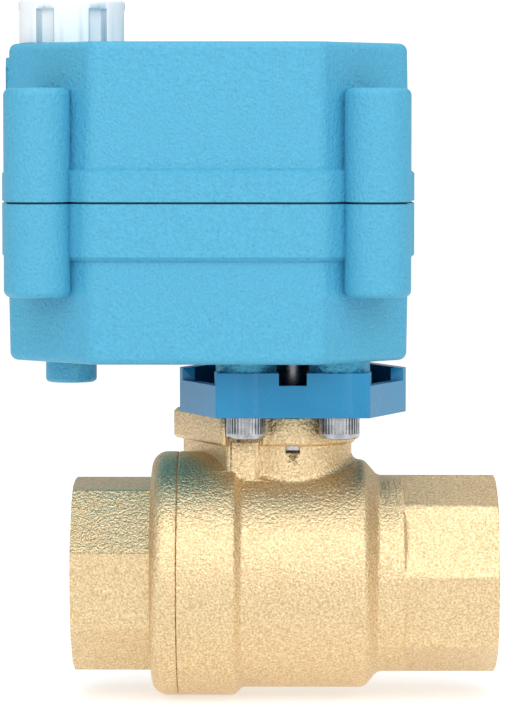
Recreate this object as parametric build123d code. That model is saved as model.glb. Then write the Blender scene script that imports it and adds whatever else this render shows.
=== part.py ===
from build123d import *
import os
from math import acos, atan2, cos, degrees, pi, radians, sin, sqrt, tan

# Motorised two-way ball valve: a DN15 brass ball valve with a quarter-turn electric actuator.
# Millimetres. Everything is drawn about the ball's centre, with the pipe along X and the stem
# along +Z. On export it is moved so that the origin is the centre of the outlet port's face.

# ---- valve: brass body and screwed end cap ----
outlet_face_x = 28.3
inlet_face_x = -30.5
flow_r = 7.5
thread_r = 10.48              # G 1/2 major radius
thread_depth = 11.8
port_chamfer = 0.5
octagon_r = 13.76             # corner radius of the wrench octagons, 25.4 across the flats
octagon_edge_r = 0.5
body_octagon_turn = -3.6
cap_octagon_turn = -17.6
band_r = 17.0
chamber_r = 15.9
hub_r = 13.7
seam_x = -15.9
spigot_r = 14.3
thread_gap = 0.05
chamber_bore_r = 12.8
ball_r = 12.0
seat_gap = 0.05
seat_outer_r = 11.0
seat_inner_r = 7.6
seat_front_x = 6.8
seat_back_x = 11.3
pocket_x = 8.6
neck_r = 8.2
neck_flare = 1.2
flange_z = 18.4
flange_top_z = 22.7
flange_r = 8.85
lug_corners = ((-9.7, -9.2), (-17.0, 7.4), (-13.4, 10.6))
rib_inset = 1.1
stem_r = 3.5
stem_bore_r = 3.55
stem_collar_r = 4.7
stem_collar_z = 12.5
stem_washer_z = 14.2
stem_seat_z = 15.0
stem_head_z = 23.5
stem_top_z = 31.0
stem_square = 4.2
stem_seal_z = (17.4, 20.0)
tang_half = 1.5
ball_slot_z = 9.0

# ---- bracket and its screws ----
bracket_top_z = 28.8
bracket_floor_z = 25.2
bracket_wall = 1.6
bracket_front_y = 13.85
bracket_front_x = 10.4
bracket_side_x = 15.75
bracket_bore_r = 5.4
notch_z = 27.1
foot_screw_x = 6.4
foot_screw_y = 9.9
foot_boss_r = 4.35
flange_screw_spots = ((0.0, -6.95), (0.0, 6.95), (-10.2, 1.5))

# ---- M3 socket screws ----
m3_r = 1.5
m3_head_r = 2.75
m3_head_h = 3.0
m3_hex_r = 1.44
m3_hex_depth = 1.5
m3_clearance_r = 1.7
m3_tapped_r = 1.55
m2_r = 1.0
m2_tapped_r = 1.05
m2_head_r = 1.9
m2_head_h = 1.2

# ---- actuator case ----
case_x = (-39.2, 15.95)       # outside of the end walls
case_half_y = 20.5
case_corner_cut = 12.0        # 45 degree corners that leave room for the screw columns
case_edge_r = 3.0
case_floor_z = 30.3
case_top_z = 73.6
parting_z = 52.0
case_wall = 1.8
case_draft = 1.0
belt_out = 0.7
belt_z = (44.2, 56.5)
belt_chamfer = 0.6
gasket_h = 0.3
gasket_inset = 0.5
column_r = 4.5
column_x = (-34.4, 11.4)
column_y = 17.5
column_z = (39.3, 67.4)
pad_r = 4.15
cover_counterbore_r = 3.0
cover_counterbore = 3.6
label_pad_out = 0.05
label_pad_half_y = 8.5
label_pad_z = (57.5, 71.7)

# ---- motor and gear train ----
motor_x = -30.4
motor_can_r = 9.5
motor_half_x = 6.85
motor_hub_r = 2.4
motor_z = (32.5, 57.5)
motor_cap_z = 35.0
motor_boss_r = 3.0
motor_shaft_r = 1.0
motor_shaft_top_z = 69.4
motor_screw_y = 6.0
foot_boss_x = -30.9
foot_boss_outer_r = 3.55
foot_boss_z = 26.8
plate_z = (57.5, 59.0)
upper_plate_z = (69.6, 70.8)
upper_plate_left_x = -27.6
pillar_spots = ((-24.5, -15.0), (-24.5, 15.0), (9.6, -9.3), (9.6, 9.3))
pillar_r = 2.0
plate_gap = 0.5
axle_r = 1.0
axle_fit = 0.03

pressure_angle = radians(25)
addendum = 0.9
dedendum = 1.25
backlash = 0.10
motor_teeth, first_wheel_teeth, first_module = 10, 32, 0.5
first_pinion_teeth, second_wheel_teeth, second_module = 10, 30, 0.6
second_pinion_teeth, output_teeth, output_module = 10, 34, 0.6
output_gear_z = (59.8, 62.6)
second_wheel_z = (63.3, 65.6)
first_wheel_z = (66.2, 68.6)

# ---- output shaft, limit cam and circuit board ----
output_foot_z = 25.9
output_foot_r = 4.4
output_bush_r = 5.6
output_fit = 0.05
output_shaft_r = 3.0
output_step_z = 33.6
output_journal_r = 2.0
output_journal_z = 66.0
output_top_z = 71.3
socket_square = 4.3
cam_z = (39.5, 42.5)
cam_low_r = 6.1
cam_lift = 0.7
cam_gap = 0.12
board_x = (-21.0, 6.6)
board_half_y = 15.2
board_z = (35.3, 36.9)
board_screw_x = -9.5
board_screw_y = 12.8
switch_half_x = 6.4
switch_y = (8.4, 14.9)
switch_z = (38.1, 43.9)
plunger_size = (1.6, 3.2, 2.4)
plunger_fit = 0.05

# ---- indicator and cable gland ----
window_r = 5.4
window_z = (72.5, 73.4)
indicator_r = 4.2
dial_mark_r = 6.9
gland_x = -30.7
gland_tube_r = 5.5
gland_nut_r = 7.4
gland_nut_z = (73.8, 79.75)
gland_nut_top = 1.3
gland_nut_turn = 3
gland_hole_r = 3.3
gland_collar_r = 6.4
seal_hole_r = 3.0


# ---- shared shapes ----
def rod(x, y, z0, z1, r):
    """Upright cylinder."""
    return Pos(x, y, (z0 + z1) / 2) * Cylinder(r, z1 - z0)


def x_rod(x0, x1, r):
    """Cylinder on the pipe axis."""
    return Pos((x0 + x1) / 2, 0, 0) * Rot(0, 90, 0) * Cylinder(r, x1 - x0)


def block(x0, x1, y0, y1, z0, z1):
    """Upright box between two corners."""
    return Pos((x0 + x1) / 2, (y0 + y1) / 2, (z0 + z1) / 2) * Box(x1 - x0, y1 - y0, z1 - z0)


def turned(points, roundings=()):
    """Solid of revolution about the pipe from (x, radius) points. Roundings are (point index, radius)."""
    profile = make_face(Polyline(*points, close=True))
    for index, radius in roundings:
        spot = Vector(*points[index])
        corner = min(profile.vertices(), key=lambda v: (Vector(v.X, v.Y) - spot).length)
        profile = fillet(corner, radius)
    return revolve(profile, Axis.X)


def octagon_bar(x0, x1, turn):
    """Octagonal bar along the pipe, its corners slightly rounded."""
    outline = Rot(0, 0, turn) * RegularPolygon(octagon_r, 8)
    outline = fillet(outline.vertices(), octagon_edge_r)
    return extrude(Plane.YZ.offset(x0) * outline, amount=x1 - x0)


def chamfered_bore(face_x, way, depth):
    """Port thread bore with a small mouth chamfer, cut inwards from the port's face."""
    bore = x_rod(*sorted((face_x, face_x - way * depth)), thread_r)
    mouth = turned(
        [
            (face_x + way, 0),
            (face_x + way, thread_r + port_chamfer + 1),
            (face_x - way * port_chamfer, thread_r),
            (face_x - way * port_chamfer, 0),
        ]
    )
    return bore + mouth


def o_ring(centre_r, section_r):
    """Torus about Z at the origin."""
    return Torus(centre_r, section_r)


def rounded_plan(x0, x1, half_y, radius):
    """Rounded rectangle in plan."""
    return Pos((x0 + x1) / 2, 0) * RectangleRounded(x1 - x0, 2 * half_y, radius)


def case_plan(grow):
    """Eight-sided plan of the case, its outside wall moved outwards by grow."""
    x0, x1 = case_x[0] - grow, case_x[1] + grow
    half_y = case_half_y + grow
    cut = case_corner_cut + grow * (2 - sqrt(2))
    right = [(x1 - cut, -half_y), (x1, cut - half_y), (x1, half_y - cut), (x1 - cut, half_y)]
    left = [(x0 + cut, half_y), (x0, half_y - cut), (x0, cut - half_y), (x0 + cut, -half_y)]
    plan = make_face(Polyline(*right, *left, close=True))
    return fillet(plan.vertices(), case_edge_r + grow)


def socket_screw(length):
    """M3 socket cap screw, head up, seat at the origin."""
    head = Pos(0, 0, m3_head_h / 2) * Cylinder(m3_head_r, m3_head_h)
    head = fillet(head.edges().sort_by(Axis.Z)[-1], 0.35)
    head -= extrude(Pos(0, 0, m3_head_h - m3_hex_depth) * RegularPolygon(m3_hex_r, 6), amount=m3_hex_depth)
    return head + rod(0, 0, -length, 0, m3_r)


def small_screw(length):
    """M2 pan-head screw with a cross recess, head up, seat at the origin."""
    head = Pos(0, 0, m2_head_h / 2) * Cylinder(m2_head_r, m2_head_h)
    head = fillet(head.edges().sort_by(Axis.Z)[-1], 0.5)
    for angle in (0, 90):
        head -= Rot(0, 0, angle) * block(-1.1, 1.1, -0.25, 0.25, m2_head_h - 0.6, m2_head_h + 1)
    return head + rod(0, 0, -length, 0, m2_r)


def flat_screw(length):
    """M3 countersunk screw, its flat head's top at the origin."""
    cone = Pos(0, 0, -0.75) * Cone(m3_r, m3_head_r, 1.5)
    cone -= extrude(Pos(0, 0, -0.9) * RegularPolygon(1.15, 6), amount=2)
    return cone + rod(0, 0, -length, -1.5, m3_r)


# ---- brass valve ----
def seat_ring():
    """Sealing ring beside the ball, on the outlet side, with a hollow face that fits the ball."""
    cup_r = ball_r + seat_gap
    front_r = sqrt(cup_r**2 - seat_front_x**2)
    inner_x = sqrt(cup_r**2 - seat_inner_r**2)
    middle_x = (seat_front_x + inner_x) / 2
    cup = ThreePointArc((inner_x, seat_inner_r), (middle_x, sqrt(cup_r**2 - middle_x**2)), (seat_front_x, front_r))
    sides = Polyline(
        (seat_front_x, front_r),
        (seat_front_x, seat_outer_r),
        (seat_back_x, seat_outer_r),
        (seat_back_x, seat_inner_r),
        (inner_x, seat_inner_r),
    )
    return revolve(make_face([cup, sides]), Axis.X)


def lug_plan(inset):
    """Three-cornered lug on the left of the neck, its sides moved inwards by inset."""
    (front_x, front_y), (left_x, left_y), (back_x, back_y) = lug_corners
    corners = [(0, -5), (-5, front_y), (front_x, front_y), (left_x, left_y), (back_x, back_y), (0, 6)]
    plan = offset(make_face(Polyline(*corners, close=True)), -inset, kind=Kind.INTERSECTION)
    outer = plan.vertices().filter_by(lambda v: v.X < -8)
    return fillet(outer, 1.0)


def flange_plan():
    """Plan of the actuator flange: round about the stem, with the lug."""
    return Circle(flange_r) + lug_plan(0)


def flange_holes(z0, radius):
    """Tapped holes for the screws that hold the bracket."""
    holes = [rod(x, y, z0, flange_top_z + 1, radius) for x, y in flange_screw_spots]
    return Part() + holes


def valve_body():
    barrel = turned(
        [
            (seam_x, 0),
            (seam_x, band_r),
            (-8.1, band_r),
            (-7.0, chamber_r),
            (9.9, chamber_r),
            (11.8, hub_r),
            (15.2, hub_r),
            (16.3, 12.6),
            (16.3, 0),
        ],
        ((1, 0.25), (2, 0.9), (3, 0.9), (4, 1.5), (5, 1.2), (6, 0.5)),
    )
    blank = turned([(11, 0), (11, 15), (outlet_face_x - 0.7, 15), (outlet_face_x, 13.0), (outlet_face_x, 0)])
    port = octagon_bar(11, outlet_face_x, body_octagon_turn) & blank
    neck = rod(0, 0, 6, flange_z + 0.5, neck_r)
    rib = extrude(Pos(0, 0, 10) * lug_plan(rib_inset), amount=flange_z + 0.5 - 10)
    solid = barrel + port
    solid += neck + rib
    neck_foot = [
        edge
        for edge in solid.edges()
        if edge.bounding_box().max.X < 9
        and edge.bounding_box().max.X > neck_r - 0.1
        and edge.bounding_box().max.Z < flange_z
    ]
    solid = fillet(neck_foot, neck_flare)
    flange = extrude(Pos(0, 0, flange_z) * flange_plan(), amount=flange_top_z - flange_z)
    flange = chamfer(flange.faces().sort_by(Axis.Z)[-1].edges(), 0.5)
    flange = fillet(flange.faces().sort_by(Axis.Z)[0].edges(), 0.6)
    for x, y in foot_screw_spots():
        flange -= rod(x, y, 10, 30, m3_head_r + 0.2)
    solid += flange
    solid -= x_rod(seam_x - 1, pocket_x, chamber_bore_r)
    solid -= x_rod(seam_x - 1, -8.4, spigot_r + thread_gap)
    solid -= x_rod(0, seat_back_x, seat_outer_r + thread_gap)
    solid -= x_rod(0, outlet_face_x, flow_r)
    solid -= chamfered_bore(outlet_face_x, 1, thread_depth)
    solid -= rod(0, 0, 5, stem_seat_z, stem_collar_r + 0.2)
    solid -= rod(0, 0, 5, flange_top_z + 1, stem_bore_r)
    solid -= flange_holes(17.4, m3_tapped_r)
    return solid


def end_cap():
    blank = turned([(inlet_face_x, 0), (inlet_face_x, 13.0), (inlet_face_x + 0.7, 15), (-19, 15), (-19, 0)])
    port = octagon_bar(inlet_face_x, -19, cap_octagon_turn) & blank
    collar = turned([(-19.6, 0), (-19.6, band_r), (seam_x, band_r), (seam_x, 0)], ((1, 2.2), (2, 0.25)))
    solid = port + collar + x_rod(seam_x, -pocket_x, spigot_r)
    solid -= x_rod(-16.0, -14.5, spigot_r + 1) - x_rod(-17, -13, spigot_r - 1.4)
    solid -= x_rod(inlet_face_x, 0, flow_r)
    solid -= x_rod(-seat_back_x, 0, seat_outer_r + thread_gap)
    return solid - chamfered_bore(inlet_face_x, -1, thread_depth)


def end_cap_seal():
    return Pos(-15.25, 0, 0) * Rot(0, 90, 0) * o_ring(spigot_r - 0.7, 0.67)


def valve_seats():
    return Part() + [seat_ring(), Rot(0, 0, 180) * seat_ring()]


def ball():
    sphere = Sphere(ball_r) - x_rod(-ball_r, ball_r, flow_r)
    return sphere - block(-tang_half - 0.1, tang_half + 0.1, -ball_r, ball_r, ball_slot_z, ball_r + 1)


def stem():
    shaft = rod(0, 0, stem_collar_z, stem_head_z, stem_r)
    shaft += rod(0, 0, stem_collar_z, stem_washer_z, stem_collar_r)
    tang = block(-tang_half, tang_half, -4.6, 4.6, ball_slot_z + 0.3, stem_collar_z)
    shaft += tang & rod(0, 0, 0, stem_top_z, stem_collar_r)
    for z in stem_seal_z:
        shaft -= rod(0, 0, z - 0.65, z + 0.65, stem_r + 1) - rod(0, 0, z - 1, z + 1, stem_r - 1.0)
    half = stem_square / 2
    head = block(-half, half, -half, half, stem_head_z, stem_top_z)
    head = chamfer(head.faces().sort_by(Axis.Z)[-1].edges(), 0.4)
    return shaft + head


def stem_seals():
    return Part() + [Pos(0, 0, z) * o_ring(stem_r - 0.48, 0.5) for z in stem_seal_z]


def stem_washer():
    return rod(0, 0, stem_washer_z + 0.05, stem_seat_z - 0.02, stem_collar_r) - rod(0, 0, 13, 16, stem_r + 0.1)


# ---- bracket ----
def bracket_plan(inset):
    """Six-sided plan of the bracket, moved inwards by inset."""
    points = [
        (bracket_front_x, -bracket_front_y),
        (bracket_side_x, -0.6),
        (bracket_side_x, 0.6),
        (bracket_front_x, bracket_front_y),
        (-bracket_front_x, bracket_front_y),
        (-bracket_side_x, 0.6),
        (-bracket_side_x, -0.6),
        (-bracket_front_x, -bracket_front_y),
    ]
    plan = make_face(Polyline(*points, close=True))
    plan = fillet(plan.vertices(), 0.5)
    return offset(plan, -inset) if inset else plan


def foot_screw_spots():
    return [(sx * foot_screw_x, sy * foot_screw_y) for sy in (-1, 1) for sx in (-1, 1)]


def mounting_bracket():
    height = bracket_top_z - flange_top_z
    solid = extrude(Pos(0, 0, flange_top_z) * bracket_plan(0), amount=height)
    solid -= extrude(Pos(0, 0, bracket_floor_z) * bracket_plan(bracket_wall), amount=height)
    solid -= block(-1.9, 1.9, -15, -10, notch_z, 30)
    for way in (-1, 1):
        facet = [(way * 10.9, -14.5), (way * 17, -14.5), (way * 17, -1.6), (way * 13, -1.6), (way * 9, -9.6)]
        solid -= extrude(Pos(0, 0, notch_z) * make_face(Polyline(*facet, close=True)), amount=4)
    for x, y in foot_screw_spots():
        boss = rod(x, y, flange_top_z, bracket_top_z, foot_boss_r)
        solid += fillet(boss.edges().sort_by(Axis.Z)[0], 0.3)
        solid -= rod(x, y, 20, 30, m3_clearance_r)
    for x, y in flange_screw_spots:
        solid -= rod(x, y, 20, 30, m3_clearance_r)
        solid -= Pos(x, y, bracket_floor_z - 0.8) * Cone(m3_clearance_r, m3_head_r + 0.15, 1.6)
    return solid - rod(0, 0, 20, 30, bracket_bore_r)


def flange_screws():
    screw = flat_screw(7.2)
    return Part() + [Pos(x, y, bracket_floor_z - 0.1) * screw for x, y in flange_screw_spots]


def actuator_screws():
    screw = Rot(180, 0, 0) * socket_screw(12)
    return Part() + [Pos(x, y, flange_top_z) * screw for x, y in foot_screw_spots()]


# ---- actuator case ----
def column_spots():
    return [(x, sy * column_y) for x in column_x for sy in (-1, 1)]


def shell(z_part, z_end, belt_end, column_end):
    """One moulded half of the case, open at the parting line and hollow, with its four screw columns."""
    way = 1 if z_end > z_part else -1
    plane = Pos(0, 0, z_part)
    solid = extrude(plane * case_plan(0), amount=way * abs(z_end - z_part), taper=case_draft)
    end_face = solid.faces().sort_by(Axis.Z)[-1 if way > 0 else 0]
    solid = fillet(end_face.edges(), 1.1)
    belt = extrude(plane * case_plan(belt_out), amount=way * abs(belt_end - z_part))
    belt_face = belt.faces().sort_by(Axis.Z)[-1 if way > 0 else 0]
    solid += chamfer(belt_face.edges(), belt_chamfer)
    for x, y in column_spots():
        column = rod(x, y, *sorted((z_part, column_end)), column_r)
        tip = column.edges().sort_by(Axis.Z)[-1 if way > 0 else 0]
        solid += fillet(tip, 1.0)
    depth = abs(z_end - z_part) - case_wall
    return solid - extrude(plane * case_plan(-case_wall), amount=way * depth)


def lower_housing():
    top = parting_z - gasket_h / 2
    inside = case_floor_z + case_wall
    solid = shell(top, case_floor_z, belt_z[0], column_z[0])
    for x, y in column_spots():
        solid -= rod(x, y, column_z[0] + 2, top + 1, m3_tapped_r)
    for x, y in foot_screw_spots():
        solid += rod(x, y, bracket_top_z, board_z[0] - 0.1, pad_r - 0.9)
        solid += rod(x, y, bracket_top_z, case_floor_z + 1, pad_r)
    for x, y in pillar_spots:
        solid += rod(x, y, inside - 1, plate_z[0], pillar_r)
        solid -= rod(x, y, plate_z[0] - 8, plate_z[0] + 1, m2_tapped_r)
    for side in (-1, 1):
        x, y = board_screw_x, side * board_screw_y
        solid += rod(x, y, inside - 1, board_z[0], m2_head_r)
        solid -= rod(x, y, inside, board_z[0] + 1, m2_tapped_r)
    foot = rod(foot_boss_x, 0, foot_boss_z, inside, foot_boss_outer_r)
    solid += fillet(foot.edges().sort_by(Axis.Z)[0], 0.6)
    solid -= rod(motor_x, 0, foot_boss_z + 1.2, motor_z[0] + 1, motor_hub_r + 0.1)
    solid += Pos(-20.6, 0, case_floor_z) * Cone(1.3, 1.6, 0.5)
    for x, y in foot_screw_spots():
        solid -= rod(x, y, 20, board_z[0], m3_tapped_r)
    return solid - rod(0, 0, 20, 40, output_bush_r + thread_gap)


def upper_housing():
    bottom = parting_z + gasket_h / 2
    solid = shell(bottom, case_top_z, belt_z[1], column_z[1])
    for x, y in column_spots():
        solid -= rod(x, y, bottom - 1, 70, m3_clearance_r)
        solid -= rod(x, y, column_z[1] - cover_counterbore, column_z[1] + 1, cover_counterbore_r)
    wall_x = case_x[0]
    pad = block(wall_x - label_pad_out, wall_x + 1.2, -label_pad_half_y, label_pad_half_y, *label_pad_z)
    solid += fillet(pad.edges().filter_by(Axis.X).sort_by(Axis.X)[:4], 1.5)
    for angle in (0, 90, 180, 270):
        mark = Pos(dial_mark_r, 0, case_top_z) * Sphere(1.0)
        mark &= block(dial_mark_r - 2, dial_mark_r + 2, -2, 2, case_top_z - 0.6, case_top_z + 0.3)
        solid += Rot(0, 0, angle) * mark
    solid -= rod(0, 0, 60, 80, indicator_r + 0.5)
    solid -= rod(0, 0, window_z[0], 80, window_r + 0.1)
    return solid - rod(gland_x, 0, 60, 80, gland_tube_r + thread_gap)


def housing_gasket():
    """Flat sealing sheet between the two halves, a little inside their edge."""
    plan = case_plan(belt_out - gasket_inset)
    for x, y in column_spots():
        plan += Pos(x, y) * Circle(column_r - gasket_inset)
        plan -= Pos(x, y) * Circle(m3_clearance_r)
    plan -= case_plan(-case_wall)
    return extrude(Pos(0, 0, parting_z - gasket_h / 2) * plan, amount=gasket_h)


def cover_screws():
    screw = socket_screw(22)
    seat = column_z[1] - cover_counterbore
    return Part() + [Pos(x, y, seat) * screw for x, y in column_spots()]


# ---- gears ----
def gear_rim(module, teeth, z_range, tooth_angle):
    """Spur gear blank with involute flanks and one tooth centred on tooth_angle (degrees)."""
    pitch_r = module * teeth / 2
    base_r = pitch_r * cos(pressure_angle)
    tip_r = pitch_r + addendum * module
    root_r = pitch_r - dedendum * module
    first_r = max(base_r, root_r + 0.1 * module)

    def involute(radius):
        roll = acos(min(1.0, base_r / radius))
        return tan(roll) - roll

    half_at_pitch = (pi * module / 2 - backlash) / 2 / pitch_r
    radii = [first_r + (tip_r - first_r) * step / 3 for step in range(4)]
    flank = [(r, half_at_pitch + involute(pitch_r) - involute(r)) for r in radii]
    flank.insert(0, (root_r, flank[0][1]))
    points = []
    for tooth in range(teeth):
        middle = radians(tooth_angle) + 2 * pi * tooth / teeth
        for r, half in flank:
            points.append((r * cos(middle - half), r * sin(middle - half)))
        for r, half in reversed(flank):
            points.append((r * cos(middle + half), r * sin(middle + half)))
    outline = make_face(Polyline(*points, close=True))
    return extrude(Pos(0, 0, z_range[0]) * outline, amount=z_range[1] - z_range[0])


def centre_distance(module, teeth_a, teeth_b):
    return module * (teeth_a + teeth_b) / 2


def meshing_angle(centre_a, teeth_a, angle_a, centre_b, teeth_b):
    """Tooth angle of gear b that puts a gap of it opposite a tooth of gear a."""
    line = degrees(atan2(centre_b[1] - centre_a[1], centre_b[0] - centre_a[0]))
    phase_a = (line - angle_a) * teeth_a / 360
    phase_b = 0.5 - phase_a
    return line + 180 - phase_b * 360 / teeth_b


def first_centre():
    """Axle of the first gear, beside the motor and a little behind its line to the stem."""
    reach = centre_distance(first_module, motor_teeth, first_wheel_teeth)
    along = 10.1
    return (motor_x + along, sqrt(reach**2 - along**2))


def second_centre():
    """Axle of the second gear, where it meshes with the first gear and with the output gear."""
    ax, ay = first_centre()
    to_output = centre_distance(output_module, second_pinion_teeth, output_teeth)
    to_first = centre_distance(second_module, first_pinion_teeth, second_wheel_teeth)
    span = sqrt(ax**2 + ay**2)
    along = (to_output**2 - to_first**2 + span**2) / (2 * span)
    across = sqrt(to_output**2 - along**2)
    ux, uy = ax / span, ay / span
    return (along * ux - across * uy, along * uy + across * ux)


def gear_angles():
    """Tooth angles of each toothed rim, worked back from the output gear."""
    output, second, first, motor = (0, 0), second_centre(), first_centre(), (motor_x, 0)
    second_pinion = meshing_angle(output, output_teeth, 0, second, second_pinion_teeth)
    first_pinion = meshing_angle(second, second_wheel_teeth, 0, first, first_pinion_teeth)
    motor_pinion = meshing_angle(first, first_wheel_teeth, 0, motor, motor_teeth)
    return second_pinion, first_pinion, motor_pinion


def output_gear():
    solid = gear_rim(output_module, output_teeth, output_gear_z, 0)
    solid += rod(0, 0, plate_z[1] + 0.2, output_gear_z[1] + 0.4, 4.4)
    return solid - rod(0, 0, 50, 70, output_shaft_r + 0.02)


def second_gear():
    x, y = second_centre()
    pinion_angle = gear_angles()[0]
    solid = gear_rim(second_module, second_wheel_teeth, second_wheel_z, 0)
    solid += gear_rim(output_module, second_pinion_teeth, (59.4, second_wheel_z[0]), pinion_angle)
    solid += rod(0, 0, second_wheel_z[1], upper_plate_z[0] - 0.2, 1.9)
    return Pos(x, y, 0) * (solid - rod(0, 0, 50, 80, axle_r + axle_fit))


def first_gear():
    x, y = first_centre()
    pinion_angle = gear_angles()[1]
    solid = gear_rim(first_module, first_wheel_teeth, first_wheel_z, 0)
    solid += gear_rim(second_module, first_pinion_teeth, (62.9, first_wheel_z[0]), pinion_angle)
    solid += rod(0, 0, plate_z[1] + 0.2, 62.9, 1.9)
    solid += rod(0, 0, first_wheel_z[1], upper_plate_z[0] - 0.2, 1.9)
    return Pos(x, y, 0) * (solid - rod(0, 0, 50, 80, axle_r + axle_fit))


def motor_pinion():
    rim = gear_rim(first_module, motor_teeth, (65.9, 68.9), gear_angles()[2])
    return Pos(motor_x, 0, 0) * (rim - rod(0, 0, 60, 70, motor_shaft_r + 0.02))


def gear_axles():
    z0, z1 = plate_z[0] + 0.1, upper_plate_z[1] - 0.1
    return Part() + [rod(x, y, z0, z1, axle_r) for x, y in (first_centre(), second_centre())]


# ---- motor and gear plates ----
def motor_plan():
    return Circle(motor_can_r) & Rectangle(2 * motor_half_x, 2 * motor_can_r)


def motor_can():
    z0, z1 = motor_cap_z, motor_z[1]
    solid = extrude(Pos(motor_x, 0, z0) * motor_plan(), amount=z1 - z0)
    solid = fillet(solid.faces().sort_by(Axis.Z)[-1].edges(), 0.8)
    solid += rod(motor_x, 0, z1 - 0.5, z1 + 1.0, motor_boss_r)
    solid -= rod(motor_x, 0, z1 - 2, z1 + 2, motor_shaft_r + axle_fit)
    for side in (-1, 1):
        solid -= rod(motor_x, side * motor_screw_y, z1 - 4, z1 + 1, m2_tapped_r)
    return solid


def motor_end_cap():
    z0, z1 = motor_z[0], motor_cap_z
    solid = extrude(Pos(motor_x, 0, z0) * motor_plan(), amount=z1 - z0)
    solid += rod(motor_x, 0, foot_boss_z + 1.5, z0, motor_hub_r)
    return solid


def motor_shaft():
    return rod(motor_x, 0, motor_z[1] - 1.9, motor_shaft_top_z, motor_shaft_r)


def motor_screws():
    screw = small_screw(4.5)
    return Part() + [Pos(motor_x, side * motor_screw_y, plate_z[1]) * screw for side in (-1, 1)]


def plate_plan():
    """Plan of a gear plate: the inside of the case, less a small gap, with the shared screw and axle holes."""
    plan = case_plan(-case_wall - plate_gap)
    for x, y in pillar_spots:
        plan -= Pos(x, y) * Circle(m2_tapped_r)
    for x, y in (first_centre(), second_centre()):
        plan -= Pos(x, y) * Circle(axle_r + 0.02)
    return plan


def gear_plate():
    plan = plate_plan() - Pos(motor_x, 0) * Circle(motor_boss_r + 0.1)
    for side in (-1, 1):
        plan -= Pos(motor_x, side * motor_screw_y) * Circle(m2_tapped_r)
    plan -= Circle(output_shaft_r + output_fit)
    return extrude(Pos(0, 0, plate_z[0]) * plan, amount=plate_z[1] - plate_z[0])


def upper_gear_plate():
    plan = plate_plan() - Circle(output_journal_r + output_fit)
    plan -= Pos(upper_plate_left_x - 20, 0) * Rectangle(40, 60)
    return extrude(Pos(0, 0, upper_plate_z[0]) * plan, amount=upper_plate_z[1] - upper_plate_z[0])


def gear_spacers():
    tubes = []
    for x, y in pillar_spots:
        tubes.append(rod(x, y, plate_z[1], upper_plate_z[0], pillar_r) - rod(x, y, 50, 80, m2_tapped_r))
    return Part() + tubes


def gear_plate_screws():
    """Long screws with thin heads, to clear the cover."""
    screw = small_screw(18) - block(-3, 3, -3, 3, 0.9, 2)
    return Part() + [Pos(x, y, upper_plate_z[1]) * screw for x, y in pillar_spots]


# ---- output shaft, cam, board ----
def output_shaft():
    solid = rod(0, 0, output_foot_z, output_step_z, output_foot_r)
    solid += rod(0, 0, output_step_z, output_journal_z, output_shaft_r)
    solid += rod(0, 0, output_journal_z, output_top_z, output_journal_r)
    solid += rod(0, 0, output_top_z, output_top_z + 0.8, 1.0)
    half = socket_square / 2
    solid -= block(-half, half, -half, half, output_foot_z - 1, stem_top_z + 0.4)
    return solid - (rod(0, 0, 31.55, 32.65, output_foot_r + 1) - rod(0, 0, 31, 33, output_foot_r - 0.9))


def output_seal():
    return Pos(0, 0, 32.1) * o_ring(output_foot_r - 0.44, 0.44)


def output_bush():
    solid = rod(0, 0, case_floor_z, 33.1, output_bush_r) + rod(0, 0, case_floor_z + case_wall, 33.1, 6.6)
    return solid - rod(0, 0, 20, 40, output_foot_r + output_fit)


def cam_radius(angle):
    """Cam outline by angle: two even ramps of a quarter turn, between a high and a low quarter."""
    quarter = (angle % 360) / 90
    if quarter < 1:
        return cam_low_r + cam_lift
    if quarter < 2:
        return cam_low_r + cam_lift * (2 - quarter)
    if quarter < 3:
        return cam_low_r
    return cam_low_r + cam_lift * (quarter - 3)


def limit_cam():
    steps = 72
    points = []
    for step in range(steps):
        angle = 360 * step / steps
        r = cam_radius(angle)
        points.append((r * cos(radians(angle)), r * sin(radians(angle))))
    plate = make_face(Polyline(*points, close=True))
    solid = extrude(Pos(0, 0, cam_z[0]) * plate, amount=cam_z[1] - cam_z[0])
    solid += rod(0, 0, cam_z[0] - 1.5, cam_z[1] + 1.5, output_shaft_r + 1.6)
    return solid - rod(0, 0, 30, 50, output_shaft_r + 0.02)


def circuit_board():
    x0, x1 = board_x
    plan = rounded_plan(x0, x1, board_half_y, 1.5) - Circle(7.2)
    for side in (-1, 1):
        plan -= Pos(board_screw_x, side * board_screw_y) * Circle(m2_tapped_r)
    return extrude(Pos(0, 0, board_z[0]) * plan, amount=board_z[1] - board_z[0])


def board_screws():
    screw = small_screw(4.4)
    return Part() + [Pos(board_screw_x, side * board_screw_y, board_z[1]) * screw for side in (-1, 1)]


def limit_switches():
    """Two micro switches, each with the pocket that its plunger slides in."""
    bodies = []
    width, length, height = (size + 2 * plunger_fit for size in plunger_size)
    middle = (cam_z[0] + cam_z[1]) / 2
    for side in (-1, 1):
        y0, y1 = sorted((side * switch_y[0], side * switch_y[1]))
        body = block(-switch_half_x, switch_half_x, y0, y1, *switch_z)
        body = chamfer(body.edges().filter_by(Axis.Z), 0.3)
        for x in (-5.08, 0.0, 5.08):
            body += block(x - 0.3, x + 0.3, side * 11.6 - 0.25, side * 11.6 + 0.25, board_z[1], switch_z[0])
        pocket_y = sorted((side * (switch_y[0] - 1), side * (switch_y[0] + 1.9)))
        body -= block(-width / 2, width / 2, *pocket_y, middle - height / 2, middle + height / 2)
        bodies.append(body)
    return Part() + bodies


def switch_plunger(side, tip):
    """Plunger of one micro switch, its tip just off the cam."""
    width, length, height = plunger_size
    middle = (cam_z[0] + cam_z[1]) / 2
    y0, y1 = sorted((side * tip, side * (tip + length)))
    body = block(-width / 2, width / 2, y0, y1, middle - height / 2, middle + height / 2)
    end = body.faces().sort_by(Axis.Y)[0 if side > 0 else -1]
    return fillet(end.edges().filter_by(Axis.Z), 0.5)


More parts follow.
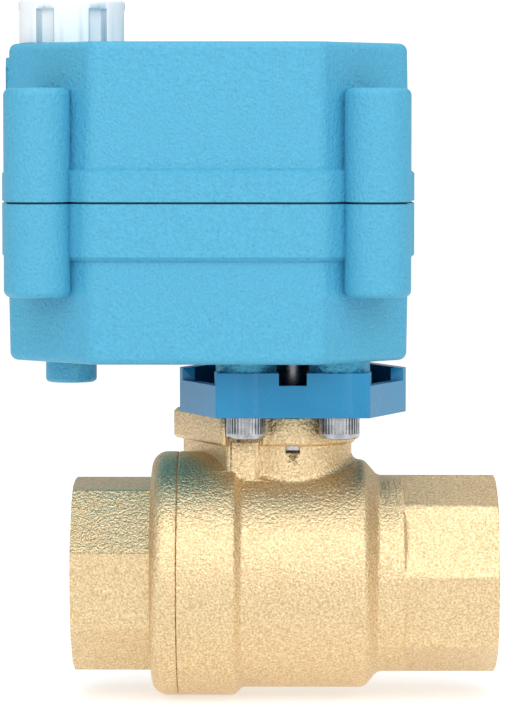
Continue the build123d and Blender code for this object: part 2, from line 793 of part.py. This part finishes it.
def open_switch_plunger():
    return switch_plunger(1, cam_low_r + cam_lift + cam_gap)


def closed_switch_plunger():
    return switch_plunger(-1, cam_low_r + cam_gap)


def relay():
    body = block(-19.6, -12.1, -7.7, 7.7, board_z[1], board_z[1] + 10)
    return chamfer(body.edges().filter_by(Axis.Z), 0.4)


def capacitor():
    body = rod(-15.6, -11.6, board_z[1], board_z[1] + 7, 3.15)
    return fillet(body.edges().sort_by(Axis.Z)[-1], 0.4)


def wire_terminal():
    z0 = board_z[1]
    body = block(-19.4, -11.8, 8.8, 14.8, z0, z0 + 6.5)
    for x in (-18.1, -15.6, -13.1):
        body -= rod(x, 11.8, z0 + 3, z0 + 8, 0.9)
    return body


# ---- indicator and gland ----
def position_indicator():
    z0 = output_top_z
    disc = rod(0, 0, z0, z0 + 0.8, indicator_r) + block(-3.7, 3.7, -0.6, 0.6, z0 + 0.7, z0 + 1.0)
    return disc - rod(0, 0, z0 - 1, z0 + 0.82, 1.02)


def indicator_window():
    return rod(0, 0, *window_z, window_r)


def gland_body():
    inside = case_top_z - case_wall
    solid = rod(gland_x, 0, inside - 0.9, inside, gland_collar_r) + rod(gland_x, 0, inside - 0.5, 77.4, gland_tube_r)
    return solid - rod(gland_x, 0, 60, 80, seal_hole_r + 0.9)


def gland_seal():
    return rod(gland_x, 0, 72.0, 77.5, seal_hole_r + 0.85) - rod(gland_x, 0, 60, 80, seal_hole_r)


def gland_nut():
    """Six-ribbed clamping nut: grooves between the ribs stop below a plain rim."""
    z0, z1 = gland_nut_z
    solid = rod(gland_x, 0, z0, z1, gland_nut_r)
    groove = Pos(gland_nut_r + 0.2, 0, (z0 + z1 - gland_nut_top) / 2) * Box(2.2, 2.9, z1 - gland_nut_top - z0)
    groove = fillet(groove.edges().filter_by(Axis.Z), 0.6)
    for rib in range(6):
        solid -= Pos(gland_x, 0, 0) * Rot(0, 0, 60 * rib + gland_nut_turn) * groove
    solid = fillet(solid.edges().filter_by(GeomType.CIRCLE).group_by(Axis.Z)[-1], 0.45)
    solid -= rod(gland_x, 0, z0 - 1, 77.7, gland_tube_r + thread_gap)
    return solid - rod(gland_x, 0, 70, 90, gland_hole_r)


NODES = (
    valve_body, end_cap, end_cap_seal, valve_seats, ball, stem, stem_seals, stem_washer,
    mounting_bracket, flange_screws, actuator_screws,
    lower_housing, upper_housing, housing_gasket, cover_screws,
    motor_can, motor_end_cap, motor_shaft, motor_screws, motor_pinion, first_gear, second_gear,
    gear_axles, gear_plate, upper_gear_plate, gear_spacers, gear_plate_screws,
    output_gear, output_shaft, output_seal, output_bush, limit_cam,
    circuit_board, board_screws, limit_switches, open_switch_plunger, closed_switch_plunger,
    relay, capacitor, wire_terminal,
    position_indicator, indicator_window, gland_body, gland_seal, gland_nut,
)

os.makedirs("parts", exist_ok=True)
for make in NODES:
    export_step(Pos(-outlet_face_x, 0, 0) * make(), f"parts/{make.__name__}.step")
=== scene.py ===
import bmesh
import bpy
from math import atan2, pi, radians
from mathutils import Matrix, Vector


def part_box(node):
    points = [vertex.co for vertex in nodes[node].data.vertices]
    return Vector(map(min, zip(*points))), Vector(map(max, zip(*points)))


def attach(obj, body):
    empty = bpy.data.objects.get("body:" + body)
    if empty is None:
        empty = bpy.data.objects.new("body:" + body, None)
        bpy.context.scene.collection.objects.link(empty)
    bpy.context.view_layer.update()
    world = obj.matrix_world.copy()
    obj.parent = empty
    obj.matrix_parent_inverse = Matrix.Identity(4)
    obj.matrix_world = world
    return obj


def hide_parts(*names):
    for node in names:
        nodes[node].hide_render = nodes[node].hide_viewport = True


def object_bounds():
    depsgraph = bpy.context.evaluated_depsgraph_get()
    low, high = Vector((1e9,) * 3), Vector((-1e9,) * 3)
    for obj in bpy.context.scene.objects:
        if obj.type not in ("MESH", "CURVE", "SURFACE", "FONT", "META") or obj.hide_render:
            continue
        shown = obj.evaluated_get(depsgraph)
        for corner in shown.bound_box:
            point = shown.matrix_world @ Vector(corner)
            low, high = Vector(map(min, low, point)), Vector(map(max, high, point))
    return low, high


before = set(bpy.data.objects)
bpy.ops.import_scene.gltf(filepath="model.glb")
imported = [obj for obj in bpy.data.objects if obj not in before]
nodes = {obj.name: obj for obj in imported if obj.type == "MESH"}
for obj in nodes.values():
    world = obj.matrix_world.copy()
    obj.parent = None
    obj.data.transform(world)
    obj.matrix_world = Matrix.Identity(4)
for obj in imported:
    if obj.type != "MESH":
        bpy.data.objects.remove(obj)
cad_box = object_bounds()
bpy.ops.object.select_all(action="DESELECT")


# Camera. It stands half a metre in front of the valve, level with the upper half of the case,
# and looks a little down through a long lens, so that the case is seen almost square on.
stem_low, stem_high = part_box("stem")
stem_x = (stem_low.x + stem_high.x) / 2
camera_data = bpy.data.cameras.new("camera")
camera_data.sensor_fit = "HORIZONTAL"
camera_data.sensor_width = 36.0
camera_data.lens = 250.0
camera = bpy.data.objects.new("camera", camera_data)
camera_aside = 0.0003
camera_distance = 0.5047
camera_height = 0.060
look_down = 3.32
look_left = 0.47
camera.location = (stem_x - camera_aside, -camera_distance, camera_height)
camera.rotation_euler = (radians(90 - look_down), 0, radians(look_left))
bpy.context.scene.collection.objects.link(camera)
bpy.context.scene.camera = camera


# Studio. A white floor that the valve stands on, and a white room round it. Large soft lamps
# stand in front to the left, the right and above the camera, and a fourth hangs overhead. The
# floor glows more towards the back, where it meets the room. The camera sees the room brighter
# than the light it gives, so that the metal keeps a light side and a dark side.
def plain_material(name, colour, roughness=0.5, metallic=0.0):
    made = bpy.data.materials.new(name)
    made.use_nodes = True
    shader = made.node_tree.nodes["Principled BSDF"]
    shader.inputs["Base Color"].default_value = (*colour, 1)
    shader.inputs["Roughness"].default_value = roughness
    shader.inputs["Metallic"].default_value = metallic
    return made


def object_noise(made, scale, detail=2.0, stretch=(1, 1, 1)):
    """Noise fixed to the piece, and finer along an axis that is stretched."""
    tree = made.node_tree
    place = tree.nodes.new("ShaderNodeTexCoord")
    turn = tree.nodes.new("ShaderNodeMapping")
    turn.inputs["Scale"].default_value = stretch
    noise = tree.nodes.new("ShaderNodeTexNoise")
    noise.inputs["Scale"].default_value = scale
    noise.inputs["Detail"].default_value = detail
    tree.links.new(place.outputs["Object"], turn.inputs["Vector"])
    tree.links.new(turn.outputs["Vector"], noise.inputs["Vector"])
    return noise.outputs["Fac"]


def colour_stops(made, source, socket, *stops):
    """Sets a shader socket from a pattern through a ramp of (place, colour) stops."""
    tree = made.node_tree
    ramp = tree.nodes.new("ShaderNodeValToRGB")
    elements = ramp.color_ramp.elements
    for index, (place, colour) in enumerate(stops):
        element = elements[index] if index < 2 else elements.new(place)
        element.position = place
        grey = isinstance(colour, float)
        element.color = (colour, colour, colour, 1) if grey else (*colour, 1)
    tree.links.new(source, ramp.inputs["Fac"])
    shader = tree.nodes["Principled BSDF"]
    tree.links.new(ramp.outputs["Color"], shader.inputs[socket])


def relief(made, *layers):
    """Bump from (pattern, depth in metres) layers, one over the other."""
    tree = made.node_tree
    under = None
    for source, depth in layers:
        bump = tree.nodes.new("ShaderNodeBump")
        bump.inputs["Distance"].default_value = depth
        tree.links.new(source, bump.inputs["Height"])
        if under is not None:
            tree.links.new(under.outputs["Normal"], bump.inputs["Normal"])
        under = bump
    shader = tree.nodes["Principled BSDF"]
    tree.links.new(under.outputs["Normal"], shader.inputs["Normal"])


floor_side = 1.6
glow_front_y = -0.10
glow_back_y = 0.02
glow_front = 0.26
glow_back = 0.58
bpy.ops.mesh.primitive_plane_add(size=floor_side, location=(stem_x, 0, cad_box[0][2]))
floor = bpy.context.object
floor.name = "studio_floor"
floor_white = plain_material("floor_white", (0.66, 0.66, 0.66), 0.9)
floor_shader = floor_white.node_tree.nodes["Principled BSDF"]
floor_shader.inputs["Specular IOR Level"].default_value = 0.1
floor_shader.inputs["Emission Color"].default_value = (1, 1, 1, 1)
floor_place = floor_white.node_tree.nodes.new("ShaderNodeTexCoord")
floor_axes = floor_white.node_tree.nodes.new("ShaderNodeSeparateXYZ")
floor_glow = floor_white.node_tree.nodes.new("ShaderNodeMapRange")
floor_glow.inputs["From Min"].default_value = glow_front_y
floor_glow.inputs["From Max"].default_value = glow_back_y
floor_glow.inputs["To Min"].default_value = glow_front
floor_glow.inputs["To Max"].default_value = glow_back
floor_links = floor_white.node_tree.links
floor_links.new(floor_place.outputs["Object"], floor_axes.inputs["Vector"])
floor_links.new(floor_axes.outputs["Y"], floor_glow.inputs["Value"])
floor_links.new(floor_glow.outputs["Result"], floor_shader.inputs["Emission Strength"])
floor.data.materials.append(floor_white)

room_light = 0.54
room_seen = 1.1
world = bpy.data.worlds.new("studio_room")
bpy.context.scene.world = world
world.use_nodes = True
room = world.node_tree.nodes["Background"]
room.inputs["Color"].default_value = (1, 1, 1, 1)
room.inputs["Strength"].default_value = room_light
seen = world.node_tree.nodes.new("ShaderNodeBackground")
seen.inputs["Color"].default_value = (1, 1, 1, 1)
seen.inputs["Strength"].default_value = room_seen
direct = world.node_tree.nodes.new("ShaderNodeLightPath")
choose = world.node_tree.nodes.new("ShaderNodeMixShader")
world_links = world.node_tree.links
world_links.new(direct.outputs["Is Camera Ray"], choose.inputs["Fac"])
world_links.new(room.outputs["Background"], choose.inputs[1])
world_links.new(seen.outputs["Background"], choose.inputs[2])
world_links.new(choose.outputs["Shader"], world.node_tree.nodes["World Output"].inputs["Surface"])
lamp_target = Vector((stem_x, 0, 0.03))


def soft_lamp(name, place, size, watts):
    """An upright or level panel of light that faces the valve."""
    data = bpy.data.lights.new(name, "AREA")
    data.shape = "RECTANGLE"
    data.size, data.size_y = size
    data.energy = watts
    lamp = bpy.data.objects.new(name, data)
    lamp.location = place
    aim = lamp_target - lamp.location
    lamp.rotation_euler = aim.to_track_quat("-Z", "Y").to_euler()
    bpy.context.scene.collection.objects.link(lamp)


soft_lamp("left_lamp", (stem_x - 0.50, -0.60, 0.45), (0.40, 0.90), 1.7)
soft_lamp("right_lamp", (stem_x + 0.50, -0.60, 0.42), (0.40, 0.90), 2.0)
soft_lamp("front_lamp", (stem_x, -0.65, 0.55), (0.70, 0.80), 2.5)
soft_lamp("top_lamp", (stem_x, 0.05, 0.65), (0.50, 0.50), 1.2)
bpy.context.scene.view_settings.view_transform = "Standard"


# Brass castings: the valve body and the end cap that is screwed into its left end. They are
# cast, machined and then bead-blasted all over, so the skin is an even sparkling grain.
weld_distance = 2e-6


def smooth_copy(node, body, material, angle=28):
    """A welded copy of a CAD node with soft shading on its round faces, in its place."""
    copy = nodes[node].copy()
    copy.data = nodes[node].data.copy()
    copy.parent = None
    copy.name = node + "_skin"
    bpy.context.scene.collection.objects.link(copy)
    weld = bmesh.new()
    weld.from_mesh(copy.data)
    bmesh.ops.remove_doubles(weld, verts=weld.verts, dist=weld_distance)
    weld.to_mesh(copy.data)
    weld.free()
    copy.data.materials.clear()
    copy.data.materials.append(material)
    bpy.ops.object.select_all(action="DESELECT")
    copy.select_set(True)
    bpy.context.view_layer.objects.active = copy
    bpy.ops.object.shade_smooth_by_angle(angle=radians(angle))
    level = copy.modifiers.new("level_faces", "WEIGHTED_NORMAL")
    level.keep_sharp = True
    bpy.ops.object.modifier_apply(modifier=level.name)
    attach(copy, body)
    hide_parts(node)
    return copy


brass = plain_material("blasted_brass", (0.86, 0.68, 0.40), 0.42, 1.0)
brass_grain = object_noise(brass, 3600, 3.0)
brass_pits = object_noise(brass, 2400, 2.0)
colour_stops(
    brass,
    brass_grain,
    "Base Color",
    (0.32, (0.58, 0.42, 0.22)),
    (0.50, (0.77, 0.58, 0.33)),
    (0.68, (0.93, 0.76, 0.50)),
)
colour_stops(brass, brass_pits, "Roughness", (0.3, 0.32), (0.7, 0.48))
relief(brass, (brass_pits, 0.00012), (brass_grain, 0.00012))
for node in ("valve_body", "end_cap"):
    casting = smooth_copy(node, "valve_and_case", brass)


# Pipe threads: a G 1/2 thread runs inside each port, 14 turns to the inch. It is cut after the
# blasting, so its flanks are bright. Each ridge is one profile wound along the bore, wide at
# the bore's wall and narrow at its crest; the first turn starts behind the port's chamfer.
thread_pitch = 0.0254 / 14
thread_major = 0.01050
thread_minor = 0.00935
thread_turns = 5
thread_start = 0.0013
ridge_width = thread_pitch * 0.86
crest_share = 0.22
steps_a_turn = 64
cut_brass = plain_material("cut_brass", (0.90, 0.70, 0.38), 0.24, 1.0)
cut_lines = object_noise(cut_brass, 260, 2.0, (22, 1, 1))
colour_stops(
    cut_brass,
    cut_lines,
    "Base Color",
    (0.3, (0.78, 0.58, 0.29)),
    (0.7, (0.95, 0.76, 0.45)),
)
colour_stops(cut_brass, cut_lines, "Roughness", (0.3, 0.18), (0.7, 0.32))
relief(cut_brass, (cut_lines, 0.00003))
port_faces = {
    "outlet_thread": (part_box("valve_body")[1].x, -1),
    "inlet_thread": (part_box("end_cap")[0].x, 1),
}
for name, (face_x, inwards) in port_faces.items():
    first_x = face_x + inwards * thread_start
    bpy.ops.object.select_all(action="DESELECT")
    bpy.ops.mesh.primitive_plane_add(
        size=ridge_width,
        location=(first_x, 0, thread_major),
        rotation=(pi / 2, 0, 0),
    )
    ridge = bpy.context.object
    ridge.name = name
    bpy.ops.object.transform_apply(location=True, rotation=True, scale=True)
    for vertex in ridge.data.vertices:
        inner = vertex.co.z < thread_major
        vertex.co.z = thread_minor if inner else thread_major
        vertex.co.x = first_x + (vertex.co.x - first_x) * (crest_share if inner else 1.0)
    bpy.ops.object.mode_set(mode="EDIT")
    bpy.ops.mesh.select_all(action="SELECT")
    bpy.ops.mesh.delete(type="ONLY_FACE")
    bpy.ops.object.mode_set(mode="OBJECT")
    screw = ridge.modifiers.new("winding", "SCREW")
    screw.axis = "X"
    screw.angle = 2 * pi
    screw.screw_offset = inwards * thread_pitch
    screw.iterations = thread_turns
    screw.steps = screw.render_steps = steps_a_turn
    screw.use_merge_vertices = True
    screw.merge_threshold = 1e-6
    bpy.ops.object.modifier_apply(modifier=screw.name)
    bpy.ops.object.mode_set(mode="EDIT")
    bpy.ops.mesh.select_all(action="DESELECT")
    bpy.ops.mesh.select_non_manifold()
    bpy.ops.mesh.edge_face_add()
    bpy.ops.mesh.select_all(action="SELECT")
    bpy.ops.mesh.normals_make_consistent(inside=False)
    bpy.ops.object.mode_set(mode="OBJECT")
    bpy.ops.object.shade_smooth_by_angle(angle=radians(30))
    ridge.data.materials.append(cut_brass)
    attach(ridge, "valve_and_case")


# Ball, seats and seals. The ball is chrome-plated brass, lapped to a mirror; the seats and the
# thrust washer are white PTFE; the O-rings are black nitrile and the case gasket is dark blue.
def wear(material, *names):
    for name in names:
        mesh = nodes[name].data
        mesh.materials.clear()
        mesh.materials.append(material)


chrome = plain_material("chromed_ball", (0.78, 0.79, 0.81), 0.08, 1.0)
chrome_lap = object_noise(chrome, 420, 3.0, (1, 6, 6))
colour_stops(chrome, chrome_lap, "Roughness", (0.35, 0.05), (0.65, 0.13))
colour_stops(chrome, chrome_lap, "Base Color", (0.3, (0.74, 0.75, 0.77)), (0.7, (0.83, 0.84, 0.86)))
smooth_copy("ball", "output_drive", chrome)

ptfe = plain_material("seat_ptfe", (0.90, 0.90, 0.88), 0.45)
ptfe_shader = ptfe.node_tree.nodes["Principled BSDF"]
ptfe_shader.inputs["Subsurface Weight"].default_value = 0.2
ptfe_shader.inputs["Subsurface Radius"].default_value = (0.001, 0.001, 0.001)
ptfe_cloud = object_noise(ptfe, 500, 3.0)
colour_stops(ptfe, ptfe_cloud, "Base Color", (0.3, (0.86, 0.86, 0.84)), (0.7, (0.93, 0.93, 0.91)))
wear(ptfe, "valve_seats", "stem_washer")

rubber = plain_material("black_rubber", (0.02, 0.02, 0.022), 0.6)
rubber_bloom = object_noise(rubber, 700, 4.0)
colour_stops(
    rubber,
    rubber_bloom,
    "Base Color",
    (0.3, (0.014, 0.014, 0.016)),
    (0.7, (0.034, 0.034, 0.036)),
)
colour_stops(rubber, rubber_bloom, "Roughness", (0.3, 0.48), (0.7, 0.70))
relief(rubber, (rubber_bloom, 0.00003))
wear(rubber, "end_cap_seal", "stem_seals", "output_seal", "gland_seal")

gasket_rubber = plain_material("gasket_rubber", (0.010, 0.06, 0.10), 0.6)
colour_stops(
    gasket_rubber,
    object_noise(gasket_rubber, 600, 3.0),
    "Base Color",
    (0.3, (0.008, 0.045, 0.08)),
    (0.7, (0.014, 0.075, 0.12)),
)
wear(gasket_rubber, "housing_gasket")


# Stem and the other turned brass pieces: bright bar stock with the fine rings of a lathe tool
# round their upright axis. The stem and the output gear turn with the ball.
turned_brass = plain_material("turned_brass", (0.84, 0.64, 0.34), 0.26, 1.0)
turned_lines = object_noise(turned_brass, 300, 2.0, (1, 1, 26))
colour_stops(
    turned_brass,
    turned_lines,
    "Base Color",
    (0.3, (0.72, 0.53, 0.26)),
    (0.7, (0.92, 0.73, 0.42)),
)
colour_stops(turned_brass, turned_lines, "Roughness", (0.3, 0.18), (0.7, 0.36))
relief(turned_brass, (turned_lines, 0.00003))
wear(turned_brass, "stem", "motor_pinion", "gear_spacers", "output_gear", "output_bush")


# Mounting bracket: a six-sided tray moulded in the same blue as the case but left glossier. It is
# screwed to the valve's flange, and the case stands on its rim and its four bosses. Its colour is
# painted darker and deeper than the case's blue, as painted shade from the case that overhangs it.
bracket_blue_painted_shade = plain_material("bracket_blue_painted_shade", (0.030, 0.27, 0.48), 0.34)
bracket_cloud = object_noise(bracket_blue_painted_shade, 120, 4.0)
bracket_grain = object_noise(bracket_blue_painted_shade, 2600, 3.0)
# These stops are darker than the case's blue: painted shade under the case's overhang, not the
# plastic's own colour.
colour_stops(
    bracket_blue_painted_shade,
    bracket_cloud,
    "Base Color",
    (0.3, (0.006, 0.20, 0.40)),
    (0.7, (0.012, 0.235, 0.455)),
)
colour_stops(bracket_blue_painted_shade, bracket_cloud, "Roughness", (0.3, 0.24), (0.7, 0.34))
relief(bracket_blue_painted_shade, (bracket_grain, 0.00003))
smooth_copy("mounting_bracket", "valve_and_case", bracket_blue_painted_shade, 12)


# Socket screws: zinc-plated steel. Four come up through the bracket into the case and four go
# down the case's columns. Each head is knurled round its side, with a plain rim at its crown.
zinc = plain_material("zinc_plate", (0.74, 0.75, 0.77), 0.28, 1.0)
zinc_cloud = object_noise(zinc, 800, 4.0)
colour_stops(zinc, zinc_cloud, "Base Color", (0.3, (0.34, 0.35, 0.37)), (0.7, (0.60, 0.61, 0.63)))
colour_stops(zinc, zinc_cloud, "Roughness", (0.3, 0.18), (0.7, 0.36))
relief(zinc, (zinc_cloud, 0.00002))
screw_head_r = 0.00275
screw_shank_r = 0.0015
screw_head_h = 0.0030
socket_corner_r = 0.00144
socket_depth = 0.0016
knurl_teeth = 36
knurl_gap = 0.00003
knurl_depth = 0.00020
rim_z = screw_head_h - 0.0007
edge_round = 0.0003
level_slack = 1e-5


def socket_screw_master(name, length):
    """A screw with its crown up and the foot of its head at the origin."""
    bpy.ops.object.select_all(action="DESELECT")
    bpy.ops.mesh.primitive_cylinder_add(
        vertices=2 * knurl_teeth,
        radius=screw_head_r,
        depth=screw_head_h,
        location=(0, 0, screw_head_h / 2),
    )
    head = bpy.context.object
    head.name = name
    bpy.ops.object.transform_apply(location=True, rotation=True, scale=True)
    bpy.ops.object.mode_set(mode="EDIT")
    bpy.ops.mesh.select_mode(type="FACE")
    bpy.ops.mesh.select_all(action="SELECT")
    bpy.ops.mesh.bisect(plane_co=(0, 0, rim_z), plane_no=(0, 0, 1))
    bpy.ops.mesh.select_all(action="DESELECT")
    shape = bmesh.from_edit_mesh(head.data)
    for face in shape.faces:
        middle = face.calc_center_median()
        turn = round(atan2(middle.y, middle.x) / pi * knurl_teeth - 0.5)
        upright = abs(face.normal.z) < 0.5
        face.select = upright and middle.z < rim_z and turn % 2 == 0
    bmesh.update_edit_mesh(head.data)
    bpy.ops.mesh.inset(thickness=knurl_gap, depth=-knurl_depth, use_individual=True)
    bpy.ops.mesh.select_all(action="DESELECT")
    shape = bmesh.from_edit_mesh(head.data)
    for face in shape.faces:
        face.select = face.normal.z < -0.9 and len(face.verts) > 8
    bmesh.update_edit_mesh(head.data)
    bpy.ops.mesh.inset(thickness=screw_head_r - screw_shank_r, depth=0)
    bpy.ops.mesh.extrude_region_move(TRANSFORM_OT_translate={"value": (0, 0, -length)})
    bpy.ops.mesh.select_all(action="DESELECT")
    shape = bmesh.from_edit_mesh(head.data)
    for edge in shape.edges:
        high = all(v.co.z > screw_head_h - level_slack for v in edge.verts)
        low = all(v.co.z < level_slack - length for v in edge.verts)
        edge.select = high or low
    bmesh.update_edit_mesh(head.data)
    bpy.ops.mesh.bevel(offset=edge_round, segments=2, affect="EDGES")
    bpy.ops.object.mode_set(mode="OBJECT")
    bpy.ops.mesh.primitive_cylinder_add(
        vertices=6, radius=socket_corner_r, depth=2 * socket_depth, location=(0, 0, screw_head_h)
    )
    key = bpy.context.object
    cut = head.modifiers.new("socket", "BOOLEAN")
    cut.operation = "DIFFERENCE"
    cut.object = key
    cut.solver = "EXACT"
    bpy.ops.object.select_all(action="DESELECT")
    head.select_set(True)
    bpy.context.view_layer.objects.active = head
    bpy.ops.object.modifier_apply(modifier=cut.name)
    bpy.data.objects.remove(key)
    bpy.ops.object.shade_smooth_by_angle(angle=radians(28))
    head.data.materials.append(zinc)
    return head


def set_screws(master, node, crown_up):
    """One screw at each place where the CAD node has one, its head's foot on the seat."""
    low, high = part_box(node)
    seat = high.z - screw_head_h if crown_up else low.z + screw_head_h
    for side_x in (low.x + screw_head_r, high.x - screw_head_r):
        for side_y in (low.y + screw_head_r, high.y - screw_head_r):
            screw = master.copy()
            screw.data = master.data.copy()
            bpy.context.scene.collection.objects.link(screw)
            for vertex in screw.data.vertices:
                if crown_up:
                    vertex.co = (vertex.co.x + side_x, vertex.co.y + side_y, vertex.co.z + seat)
                else:
                    vertex.co = (side_x + vertex.co.x, side_y - vertex.co.y, seat - vertex.co.z)
            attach(screw, "valve_and_case")
            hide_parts(node)
    bpy.data.objects.remove(master)


foot_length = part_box("actuator_screws")[1].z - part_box("actuator_screws")[0].z - screw_head_h
set_screws(socket_screw_master("foot_screw", foot_length), "actuator_screws", False)
cover_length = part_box("cover_screws")[1].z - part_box("cover_screws")[0].z - screw_head_h
set_screws(socket_screw_master("cover_screw", cover_length), "cover_screws", True)
wear(zinc, "flange_screws", "motor_screws", "gear_plate_screws", "board_screws")


# Case: two halves moulded in sky-blue plastic from a spark-eroded tool. The texture shows as a
# fine grain with a few bright specks. A gasket lies in the dark line between them.
case_blue = plain_material("case_blue", (0.105, 0.52, 0.80), 0.5)
case_cloud = object_noise(case_blue, 45, 4.0)
case_grain = object_noise(case_blue, 3000, 3.0)
case_specks = object_noise(case_blue, 1500, 1.0)
colour_stops(
    case_blue,
    case_grain,
    "Base Color",
    (0.30, (0.054, 0.345, 0.535)),
    (0.70, (0.080, 0.415, 0.625)),
)
colour_stops(case_blue, case_specks, "Roughness", (0.28, 0.26), (0.40, 0.52))
relief(case_blue, (case_cloud, 0.00020), (case_grain, 0.00014), (case_specks, 0.00012))
for node in ("lower_housing", "upper_housing"):
    half_case = smooth_copy(node, "valve_and_case", case_blue)


# Cable gland: a nylon body through the lid, a rubber sleeve, and a fluted nut that squeezes
# the sleeve on the cable. The nylon is natural white and a little translucent.
nylon = plain_material("natural_nylon", (0.88, 0.92, 0.95), 0.34)
nylon_shader = nylon.node_tree.nodes["Principled BSDF"]
nylon_shader.inputs["Subsurface Weight"].default_value = 0.8
nylon_shader.inputs["Subsurface Radius"].default_value = (0.004, 0.004, 0.004)
nylon_cloud = object_noise(nylon, 160, 4.0)
colour_stops(nylon, nylon_cloud, "Base Color", (0.3, (0.84, 0.89, 0.93)), (0.7, (0.92, 0.95, 0.97)))
colour_stops(nylon, nylon_cloud, "Roughness", (0.3, 0.28), (0.7, 0.40))
relief(nylon, (nylon_cloud, 0.00003))
for node in ("gland_body", "gland_nut"):
    smooth_copy(node, "valve_and_case", nylon)


# Position indicator: a yellow disc on top of the output shaft, with a mark across it that
# shows which way the valve stands. It turns under a clear window in the lid.
indicator_yellow = plain_material("indicator_yellow", (0.90, 0.62, 0.05), 0.4)
yellow_cloud = object_noise(indicator_yellow, 400, 3.0)
colour_stops(
    indicator_yellow,
    yellow_cloud,
    "Base Color",
    (0.3, (0.86, 0.57, 0.04)),
    (0.7, (0.93, 0.66, 0.07)),
)
colour_stops(indicator_yellow, yellow_cloud, "Roughness", (0.3, 0.32), (0.7, 0.48))
wear(indicator_yellow, "position_indicator")

clear = plain_material("clear_window", (0.97, 0.98, 0.98), 0.05)
clear_shader = clear.node_tree.nodes["Principled BSDF"]
clear_shader.inputs["Transmission Weight"].default_value = 1.0
clear_shader.inputs["IOR"].default_value = 1.49
clear_haze = object_noise(clear, 300, 2.0)
colour_stops(clear, clear_haze, "Roughness", (0.3, 0.02), (0.7, 0.07))
smooth_copy("indicator_window", "valve_and_case", clear)


# Motor: a flattened steel can with a black end cap. The can and the two gear plates are bright
# pressed sheet, and the shafts are ground steel.
motor_steel = plain_material("motor_steel", (0.62, 0.63, 0.65), 0.3, 1.0)
motor_brush = object_noise(motor_steel, 240, 3.0, (1, 1, 12))
colour_stops(
    motor_steel,
    motor_brush,
    "Base Color",
    (0.3, (0.52, 0.53, 0.55)),
    (0.7, (0.70, 0.71, 0.72)),
)
colour_stops(motor_steel, motor_brush, "Roughness", (0.3, 0.22), (0.7, 0.40))
relief(motor_steel, (motor_brush, 0.00002))
wear(motor_steel, "motor_can")

plate_steel = plain_material("plate_steel", (0.66, 0.66, 0.66), 0.35, 1.0)
plate_brush = object_noise(plate_steel, 200, 3.0, (14, 1, 1))
colour_stops(
    plate_steel,
    plate_brush,
    "Base Color",
    (0.3, (0.56, 0.56, 0.57)),
    (0.7, (0.73, 0.73, 0.73)),
)
colour_stops(plate_steel, plate_brush, "Roughness", (0.3, 0.26), (0.7, 0.46))
wear(plate_steel, "gear_plate", "upper_gear_plate")

shaft_steel = plain_material("shaft_steel", (0.30, 0.30, 0.31), 0.3, 1.0)
shaft_lines = object_noise(shaft_steel, 300, 2.0, (1, 1, 30))
colour_stops(
    shaft_steel,
    shaft_lines,
    "Base Color",
    (0.3, (0.24, 0.24, 0.25)),
    (0.7, (0.36, 0.36, 0.37)),
)
colour_stops(shaft_steel, shaft_lines, "Roughness", (0.3, 0.14), (0.7, 0.28))
wear(shaft_steel, "motor_shaft", "gear_axles", "output_shaft")


def moulded(name, light, dark, roughness):
    """A moulded plastic: two close shades of one colour, with a slightly uneven gloss."""
    made = plain_material(name, light, roughness)
    cloud = object_noise(made, 500, 3.0)
    colour_stops(made, cloud, "Base Color", (0.3, dark), (0.7, light))
    colour_stops(made, cloud, "Roughness", (0.3, roughness - 0.08), (0.7, roughness + 0.08))
    relief(made, (cloud, 0.00002))
    return made


wear(moulded("motor_cap", (0.035, 0.035, 0.038), (0.018, 0.018, 0.020), 0.45), "motor_end_cap")


# Wheels, cam and terminal: white acetal with a slight sheen. The two compound gears run dry
# between the plates, and the cam works the switches; the terminal takes the cable's wires.
acetal = moulded("white_acetal", (0.88, 0.88, 0.85), (0.80, 0.80, 0.77), 0.38)
wear(acetal, "first_gear", "second_gear", "limit_cam", "wire_terminal")


# Control board: green glass-fibre laminate with its weave showing faintly, and the parts that
# stand on it: two black micro switches with red plungers, a blue relay and a capacitor.
board_green = plain_material("board_green", (0.02, 0.20, 0.07), 0.35)
weave_x = object_noise(board_green, 120, 1.0, (20, 1, 1))
weave_y = object_noise(board_green, 120, 1.0, (1, 20, 1))
colour_stops(
    board_green,
    weave_x,
    "Base Color",
    (0.35, (0.012, 0.15, 0.05)),
    (0.65, (0.030, 0.24, 0.09)),
)
colour_stops(board_green, weave_y, "Roughness", (0.3, 0.28), (0.7, 0.42))
relief(board_green, (weave_y, 0.00001))
wear(board_green, "circuit_board")
wear(moulded("switch_black", (0.030, 0.030, 0.032), (0.016, 0.016, 0.018), 0.42), "limit_switches")
plunger_red = moulded("plunger_red", (0.62, 0.04, 0.03), (0.50, 0.03, 0.02), 0.36)
wear(plunger_red, "open_switch_plunger", "closed_switch_plunger")
wear(moulded("relay_blue", (0.03, 0.16, 0.48), (0.02, 0.12, 0.40), 0.34), "relay")
wear(moulded("capacitor_sleeve", (0.04, 0.04, 0.09), (0.02, 0.02, 0.06), 0.28), "capacitor")
